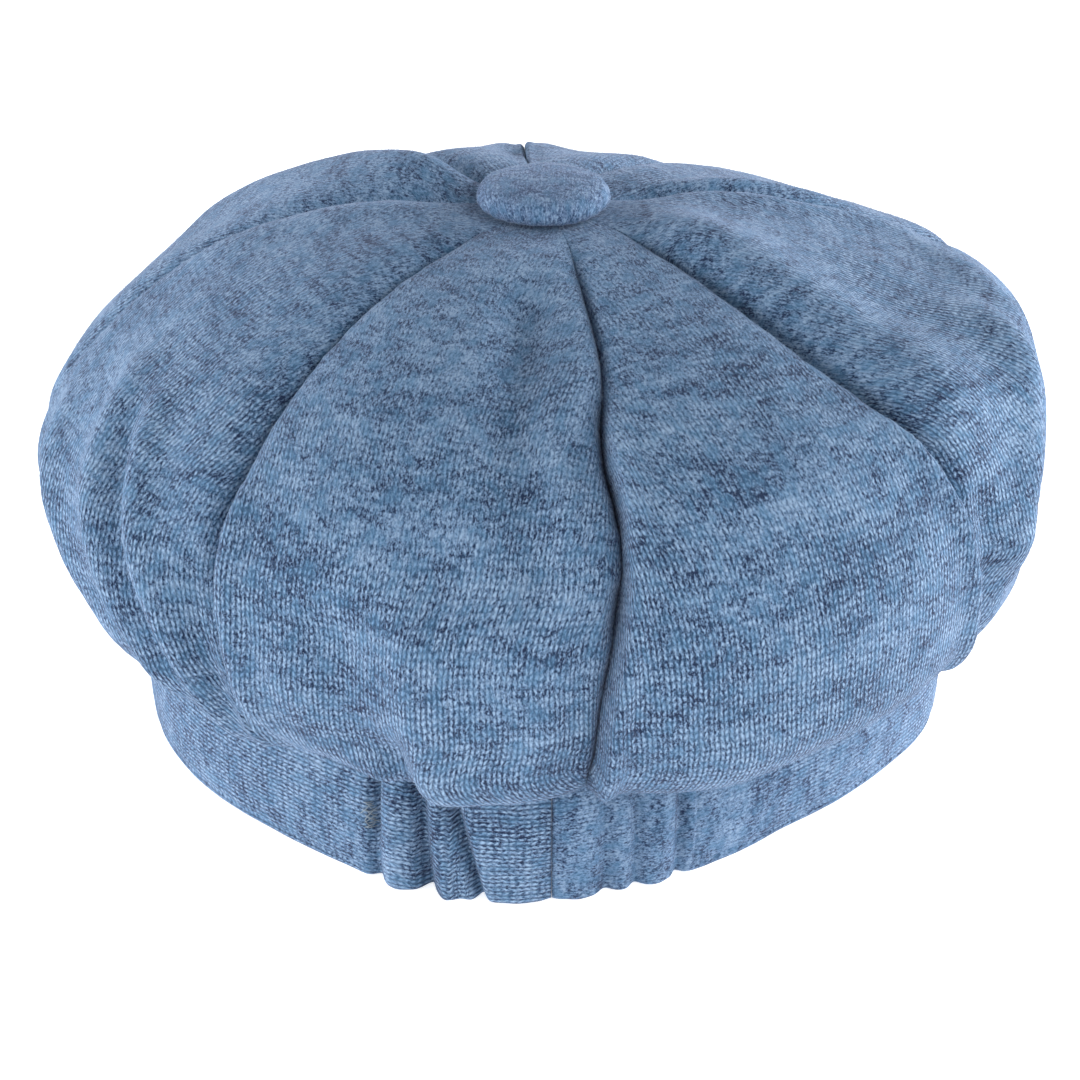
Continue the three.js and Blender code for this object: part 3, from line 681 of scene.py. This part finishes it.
def makePanels(cloth, fibres):
    acrossShares = fineShares(crown["acrossSteps"], crown["crowding"])
    across, share = np.meshgrid(acrossShares, np.linspace(0, 1, crown["downSteps"] + 1), indexing="ij")
    for index, row in enumerate(panels):
        outer = panelPoints(index, across, share, 0)
        inner = panelPoints(index, across, share, 1)
        middle = outer.shape[0] // 2
        fromMiddle = runningLength(outer, 0)
        fromMiddle = fromMiddle - fromMiddle[middle]
        downMiddle = np.broadcast_to(runningLength(outer, 1)[middle], across.shape)
        apart = 400.0 * index  # a stretch of cloth of its own for each panel
        places = np.stack([fromMiddle + apart, downMiddle], -1)
        piece = meshObject(
            "knit_panel_" + row["name"], np.concatenate([outer.reshape(-1, 3), inner.reshape(-1, 3)]),
            shellFaces(*across.shape), np.concatenate([places.reshape(-1, 2)] * 2),
        )
        piece.data.materials.append(cloth)
        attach(piece, "root")
        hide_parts("panel_" + row["name"])
        napOn("nap_panel_" + row["name"], outer, nap["perPanel"], 40 + index, fibres)
    print("crown panels made:", len(panels))


# Radial relief of the band's wall at an azimuth from -180 to 180 and a height
def bandRelief(azimuth, height):
    share = 1 - height / band["height"]
    relief = band["swell"] * np.sin(np.pi * np.clip(share, 0, 1))
    for gather in gathers:
        middle = gather["azimuth"] + gather["slant"] * (share - 0.5)
        relief = relief + gather["height"] * bell((azimuth - middle) / gather["width"])
    elastic = smoothStep(band["elasticFrom"] - band["elasticFade"], band["elasticFrom"], azimuth)
    elastic = elastic * (1 - smoothStep(band["elasticTo"], band["elasticTo"] + band["elasticFade"], azimuth))
    length = np.radians(azimuth) * band["backRadius"]
    # ripples stand almost upright and lean a little, waves are nearly round
    ripple = softNoise(onLine(length + height * 0.12, height * 0.16), band["rippleSize"], 21)
    waves = softNoise(onLine(length, height * 0.7), band["waveSize"], 22)
    return relief + elastic * band["rippleHeight"] * ripple + band["waveHeight"] * waves


# Depth of the sewn lines, and of the hem where the band isn't gathered
def bandCreases(azimuth, height):
    depth = np.zeros_like(azimuth + height)
    for line in sewnLines:
        inside = smoothStep(line["low"] - lineFade, line["low"], height)
        inside = inside * (1 - smoothStep(line["high"], line["high"] + lineFade, height))
        depth = depth + line["depth"] * np.exp(-np.abs(azimuth - line["azimuth"]) / line["width"]) * inside
    plain = smoothStep(*band["hemLeft"], azimuth) + smoothStep(*band["hemRight"], azimuth)
    hem = band["hemDepth"] * np.exp(-np.abs(height - band["hemHeight"]) / band["hemReach"])
    lip = band["lipDepth"] * smoothStep(band["hemHeight"], band["hemHeight"] - 0.5, height)
    return depth + (hem + lip) * plain


# Section of the band's wall: distance out from its plan and height, from the outer top edge down
# the outer face, under the lower edge and up the inner face
def bandSection():
    face = np.concatenate([np.linspace(29.6, 5.0, 18), np.linspace(4.4, 1.0, 10)])
    outerTop = [(-2.0, 31.9), (-0.8, 31.2), (-0.2, 30.3)]
    lower = [(-0.25, 0.45), (-0.9, 0.0), (-3.1, 0.0), (-3.75, 0.45)]
    innerFace = [(-4.0, height) for height in (1.4, 4, 8, 12, 16, 20, 24, 28, 29.8)]
    innerTop = [(-3.7, 31.2), (-3.0, 31.9)]
    outerFace = [(0.0, height) for height in face]
    return np.array(outerTop + outerFace + lower + innerFace + innerTop)


def makeHeadband(cloth, fibres):
    section = bandSection()
    clear = math.degrees(band["clearance"] / band["backRadius"])
    fine = np.linspace(band["joint"] + clear, band["gatheredTo"], band["fineSteps"])
    plain = np.linspace(band["gatheredTo"], band["gatheredFrom"], band["plainSteps"])
    gathered = np.linspace(band["gatheredFrom"], 360 + band["joint"] - clear, band["gatheredSteps"])
    turns = np.concatenate([fine, plain[1:], gathered[1:]])
    azimuth, _ = np.meshgrid(turns, section[:, 0], indexing="ij")
    outward = np.broadcast_to(section[:, 0], azimuth.shape)
    height = np.broadcast_to(section[:, 1], azimuth.shape).copy()
    signed = np.where(azimuth > 180, azimuth - 360, azimuth)
    relief = bandRelief(signed, height)
    isOuter = smoothStep(band["innerUpTo"], band["outerFrom"], outward)
    relief = relief * (band["innerRelief"] + (1 - band["innerRelief"]) * isOuter)
    radius = bandRadius(azimuth) + outward + relief - bandCreases(signed, height) * isOuter
    scallops = softNoise(onLine(np.radians(signed) * band["backRadius"]), band["scallopSize"], 23)
    height = height + band["scallop"] * (1 + scallops) * smoothStep(band["scallopUpTo"], 0, height)
    angle = np.radians(azimuth)
    points = np.stack([radius * np.sin(angle), -radius * np.cos(angle), height], -1)
    loopLength = runningLength(points, 1)
    midFace = 12  # the point of the section whose length round the head is the cloth's
    alongRing = np.broadcast_to(runningLength(points, 0)[:, midFace : midFace + 1], azimuth.shape)
    places = np.stack([loopLength + 4000, alongRing], -1)  # the cloth lies on its side here
    steps, ring = azimuth.shape
    faces = sweptFaces(steps, ring)
    piece = meshObject("knit_headband", points, faces, places)
    closeEnds(piece, steps, ring)
    piece.data.materials.append(cloth)
    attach(piece, "root")
    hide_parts("headband")
    outerFace = points[:, 2:31]  # the section's points that face outward
    napOn("nap_headband", outerFace, band["fibres"], 61, fibres)
    print("headband made")


# Button: a form covered in cloth, pleated under its rim
button = dict(
    radius=15.0, seat=125.3, edge=2.4, edgeFrom=-78, edgeTo=42, dome=4.4, domePower=2.4,
    pleatHeight=0.3, pleatReach=2.2, pleats=26, unevenness=0.25, unevenSize=7.0,
    underRings=12, edgeRings=20, domeRings=38, turns=150, fibres=3200,
)


def makeButton(cloth, fibres):
    turn = np.linspace(0, 2 * np.pi, button["turns"], endpoint=False)
    profile = []
    flat = button["radius"] - button["edge"]
    for share in np.linspace(0.02, 1, button["underRings"]):
        profile.append((flat * share, 0.0))
    for degree in np.linspace(button["edgeFrom"], button["edgeTo"], button["edgeRings"]):
        bend = math.radians(degree)
        profile.append((flat + button["edge"] * math.cos(bend), button["edge"] * (1 + math.sin(bend))))
    shoulder, level = profile[-1]
    top = button["edge"] + button["dome"]
    for share in np.linspace(0.96, 0.02, button["domeRings"]):
        dome = math.sqrt(1 - share ** button["domePower"])
        profile.append((shoulder * share, level + (top - level) * dome))
    profile = np.array(profile)
    around, radius = np.meshgrid(turn, profile[:, 0], indexing="ij")
    height = np.broadcast_to(profile[:, 1], around.shape)
    spot = onLine(radius * np.cos(around), radius * np.sin(around), height)
    rim = bell((radius - button["radius"]) / button["pleatReach"]) * smoothStep(button["edge"] * 2, 0, height)
    pleat = button["pleatHeight"] * rim * np.sin(around * button["pleats"] + 2 * softNoise(spot, 9, 31))
    uneven = button["unevenness"] * softNoise(spot, button["unevenSize"], 32)
    radius = radius + (pleat + uneven) * smoothStep(0, 6, radius)
    height = height + uneven * 0.8 * smoothStep(0.5, 2, height)
    forward = reachTable["forward"][0]
    points = onLine(radius * np.sin(around), forward - radius * np.cos(around), button["seat"] + height)
    arc = runningLength(points, 1)
    fromTop = arc[:, -1:] - arc
    places = np.stack([fromTop * np.sin(around) + 6000, fromTop * np.cos(around)], -1)
    at = np.arange(around.size).reshape(around.shape)
    nextTurn = np.roll(at, -1, axis=0)
    faces = np.stack([at[:, :-1], nextTurn[:, :-1], nextTurn[:, 1:], at[:, 1:]], -1).reshape(-1, 4)
    piece = meshObject("knit_button", points, faces, places)
    closeLoops(piece, at[:, 0], at[::-1, -1])
    piece.data.materials.append(cloth)
    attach(piece, "root")
    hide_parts("top_button")
    napOn("nap_button", points[:, button["underRings"] + 2 :], button["fibres"], 71, fibres)
    print("button made")


# Peak: a board covered in cloth, sewn to the front of the band
peak = dict(
    spread=62.0, reach=52.0, endReach=5.0, taper=1.25, thickness=4.0,
    lift=0.5, arch=8.0, archTurn=0.75, gap=0.15,
    edgeRound=1.9, edgeBend=80, edgeRows=12, seamDepth=0.5, seamRow=8.0, seamReach=1.2,
    unevenness=0.18, unevenSize=11.0, floor=0.1, steps=200, rows=44, fibres=9000,
)


def makePeak(cloth, fibres):
    turn = np.linspace(-1, 1, peak["steps"])
    bends = np.radians(np.linspace(peak["edgeBend"], -peak["edgeBend"], peak["edgeRows"]))
    shares = np.linspace(0, 1, peak["rows"])
    half = peak["thickness"] / 2
    # share of the reach, how far in from there, and height over the middle: top, rounded edge, underside
    loop = [(share, 0.0, half) for share in shares[:-1]]
    loop += [(1.0, peak["edgeRound"] * (math.cos(bend) - 1), half * math.sin(bend)) for bend in bends]
    loop += [(share, 0.0, -half) for share in shares[-2::-1]]
    loop = np.array(loop)
    turns, _ = np.meshgrid(turn, loop[:, 0], indexing="ij")
    share = np.broadcast_to(loop[:, 0], turns.shape)
    inward = np.broadcast_to(loop[:, 1], turns.shape)
    up = np.broadcast_to(loop[:, 2], turns.shape)
    azimuth = 180 + turns * peak["spread"]
    fullness = 1 - turns**2
    reach = peak["endReach"] + (peak["reach"] - peak["endReach"]) * fullness ** peak["taper"]
    middle = peak["lift"] + half + peak["arch"] * fullness * np.sin(np.pi * peak["archTurn"] * share)
    height = middle + up
    front = bandRadius(azimuth) + band["swell"] * np.sin(np.pi * height / band["height"])
    fromSeam = np.abs(np.arange(len(loop)) - len(shares) - peak["seamRow"])
    seam = peak["seamDepth"] * np.exp(-fromSeam / peak["seamReach"])
    radius = front + peak["gap"] + reach * share + inward - seam
    angle = np.radians(azimuth)
    points = np.stack([radius * np.sin(angle), -radius * np.cos(angle), height], -1)
    uneven = peak["unevenness"] * softNoise(points, peak["unevenSize"], 35)
    points[..., 2] += np.maximum(uneven, peak["floor"] - height) * smoothStep(0.02, 0.2, share)
    drop = (half - up) * smoothStep(0.5, 1, share)
    across = points[..., 0] + drop * np.sin(angle) + 7000
    places = np.stack([across, points[..., 1] - drop * np.cos(angle)], -1)
    steps, ring = turns.shape
    piece = meshObject("knit_peak", points, sweptFaces(steps, ring), places)
    closeEnds(piece, steps, ring)
    piece.data.materials.append(cloth)
    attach(piece, "root")
    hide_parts("peak")
    napOn("nap_peak", points[:, : peak["rows"] + peak["edgeRows"]], peak["fibres"], 81, fibres)
    print("peak made")


# Bartack: a pale thread sewn back and forth at the left end of the elastic
bartack = dict(
    azimuth=-26.6, width=1.3, low=13.2, high=19.5, stitches=16, points=7, jitter=0.4, slant=1.3,
    thread=0.11, sides=6, endTaper=0.25, rise=0.26, looseness=0.3, sunk=0.05,
    dark=(77, 85, 91), light=(160, 176, 190), tonesAt=(0, 1), mottle=0.7, mottleDetail=2.0,
    roughness=0.8, sheen=0,
)


def bandPoint(azimuth, height, out=0.0):
    azimuth = np.asarray(azimuth, float)
    height = np.asarray(height, float)
    radius = bandRadius(azimuth) + bandRelief(azimuth, height) - bandCreases(azimuth, height) + out
    angle = np.radians(azimuth)
    return np.stack([radius * np.sin(angle), -radius * np.cos(angle), height], -1)


# Tube along a line of points, open at its ends, which lie in the cloth
def threadTube(points):
    way = unit(np.gradient(points, axis=0))
    aside = unit(np.cross(way, np.array([0.3, 0.2, 1.0])))
    above = np.cross(way, aside)
    angle = np.linspace(0, 2 * np.pi, bartack["sides"], endpoint=False)
    ring = aside[:, None] * np.cos(angle)[None, :, None] + above[:, None] * np.sin(angle)[None, :, None]
    radius = np.full(len(points), bartack["thread"])
    radius[[0, -1]] *= bartack["endTaper"]
    return points[:, None] + ring * radius[:, None, None]


def makeBartack():
    random = np.random.default_rng(91)
    heights = np.linspace(bartack["low"], bartack["high"], bartack["stitches"])
    half = bartack["width"] / 2
    steps = np.linspace(0, 1, bartack["points"])
    count = bartack["points"] * bartack["sides"]
    vertices = []
    faces = []
    for i in range(bartack["stitches"]):
        stray = random.normal(0, bartack["jitter"], 4)
        azimuth = bartack["azimuth"] + half * ((2 * steps - 1) * (1 + stray[0]) + stray[1])
        slant = bartack["slant"] * (1 if i % 2 else -1) * (1 + 2 * stray[2])
        height = heights[i] + slant * (steps - 0.5)
        rise = bartack["rise"] + bartack["looseness"] * abs(stray[3])
        line = bandPoint(azimuth, height, rise * np.sin(np.pi * steps) - bartack["sunk"])
        vertices.append(threadTube(line).reshape(-1, 3))
        faces.append(sweptFaces(bartack["points"], bartack["sides"]) + i * count)
    piece = meshObject("bartack_thread", np.concatenate(vertices), np.concatenate(faces))
    piece.data.materials.append(mottledMaterial("paleThread", bartack))
    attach(piece, "root")
    print("bartack made")


# Camera at the photo's angle, soft light from both sides, a plain pale floor
view = dict(
    elevation=27.0, distance=750.0, focal=107.0, sensor=36.0, aimHeight=45.0, shiftX=-3 / 1080, shiftY=0.0,
)
lamps = rowsOf("name azimuth elevation strength", [
    ("farLeft", -120, 12, 7.9), ("lowLeft", -80, 12, 4.2), ("left", -80, 40, 1.0), ("nearLeft", -45, 12, 4.2),
    ("right", 45, 40, 4.9), ("lowRight", 80, 12, 2.6), ("farRight", 120, 12, 14.5), ("front", 180, 40, 0.5),
])
# the surround is bright low down all round and dim overhead, as a light tent is
studio = dict(
    lampDistance=900, lampWidth=600, lampAim=60,
    lowStrength=0.9, highStrength=0.15, lowUpTo=0.05, highFrom=0.5,
    floor=(240, 240, 242), floorRoughness=0.9, floorGlow=0.75, floorHalf=2.0,
)


def fromBandCentre(azimuth, elevation, distance, height=0.0):
    angle = math.radians(azimuth)
    rise = math.radians(elevation)
    away = Vector((math.sin(angle) * math.cos(rise), -math.cos(angle) * math.cos(rise), math.sin(rise)))
    return Vector(capPlace) + (away * distance + Vector((0, 0, height))) * mm


def makeCamera():
    camera = bpy.data.objects.new("camera", bpy.data.cameras.new("camera"))
    bpy.context.scene.collection.objects.link(camera)
    camera.data.lens = view["focal"]
    camera.data.sensor_width = view["sensor"]
    camera.data.shift_x = view["shiftX"]
    camera.data.shift_y = view["shiftY"]
    camera.data.clip_start = 0.01
    aim = Vector(capPlace) + Vector((0, 0, view["aimHeight"] * mm))
    camera.location = fromBandCentre(0, view["elevation"], view["distance"], view["aimHeight"])
    camera.rotation_euler = (aim - camera.location).to_track_quat("-Z", "Y").to_euler()
    bpy.context.scene.camera = camera
    print("camera placed")


def makeStudio():
    for lamp in lamps:
        light = bpy.data.objects.new("light_" + lamp["name"], bpy.data.lights.new(lamp["name"], "AREA"))
        bpy.context.scene.collection.objects.link(light)
        light.data.shape = "SQUARE"
        light.data.size = studio["lampWidth"] * mm
        light.data.energy = lamp["strength"]
        light.location = fromBandCentre(lamp["azimuth"], lamp["elevation"], studio["lampDistance"])
        aim = Vector(capPlace) + Vector((0, 0, studio["lampAim"] * mm))
        light.rotation_euler = (aim - light.location).to_track_quat("-Z", "Y").to_euler()
    world = bpy.data.worlds.new("studio")
    bpy.context.scene.world = world
    world.use_nodes = True
    tree = world.node_tree
    background = tree.nodes["Background"]
    background.inputs["Color"].default_value = (1, 1, 1, 1)
    way = tree.nodes.new("ShaderNodeTexCoord")
    parts = tree.nodes.new("ShaderNodeSeparateXYZ")
    tree.links.new(way.outputs["Generated"], parts.inputs[0])
    strength = tree.nodes.new("ShaderNodeMapRange")
    strength.interpolation_type = "SMOOTHSTEP"
    limits = (studio["lowUpTo"], studio["highFrom"], studio["lowStrength"], studio["highStrength"])
    for socket, value in zip(list(strength.inputs)[1:], limits):
        socket.default_value = value
    tree.links.new(parts.outputs[2], strength.inputs[0])
    tree.links.new(strength.outputs[0], background.inputs["Strength"])
    half = studio["floorHalf"]
    corners = [(-half, -half, 0), (half, -half, 0), (half, half, 0), (-half, half, 0)]
    mesh = bpy.data.meshes.new("floor")
    mesh.from_pydata(corners, [], [(0, 1, 2, 3)])
    floor = bpy.data.objects.new("floor", mesh)
    bpy.context.scene.collection.objects.link(floor)
    material = bpy.data.materials.new("paleFloor")
    material.use_nodes = True
    shader = material.node_tree.nodes["Principled BSDF"]
    shader.inputs["Base Color"].default_value = fromScreen(*studio["floor"])
    shader.inputs["Roughness"].default_value = studio["floorRoughness"]
    shader.inputs["Emission Color"].default_value = (1, 1, 1, 1)
    shader.inputs["Emission Strength"].default_value = studio["floorGlow"]
    floor.data.materials.append(material)
    bpy.context.scene.view_settings.view_transform = "Standard"
    print("studio ready")


makeCamera()
makeStudio()
fibres = mottledMaterial("napFibres", nap)
makePanels(knitMaterial("panelKnit"), fibres)
makeHeadband(knitMaterial("bandKnit"), fibres)
makeButton(knitMaterial("buttonKnit", buttonChanges), fibres)
makePeak(knitMaterial("peakKnit"), fibres)
makeBartack()
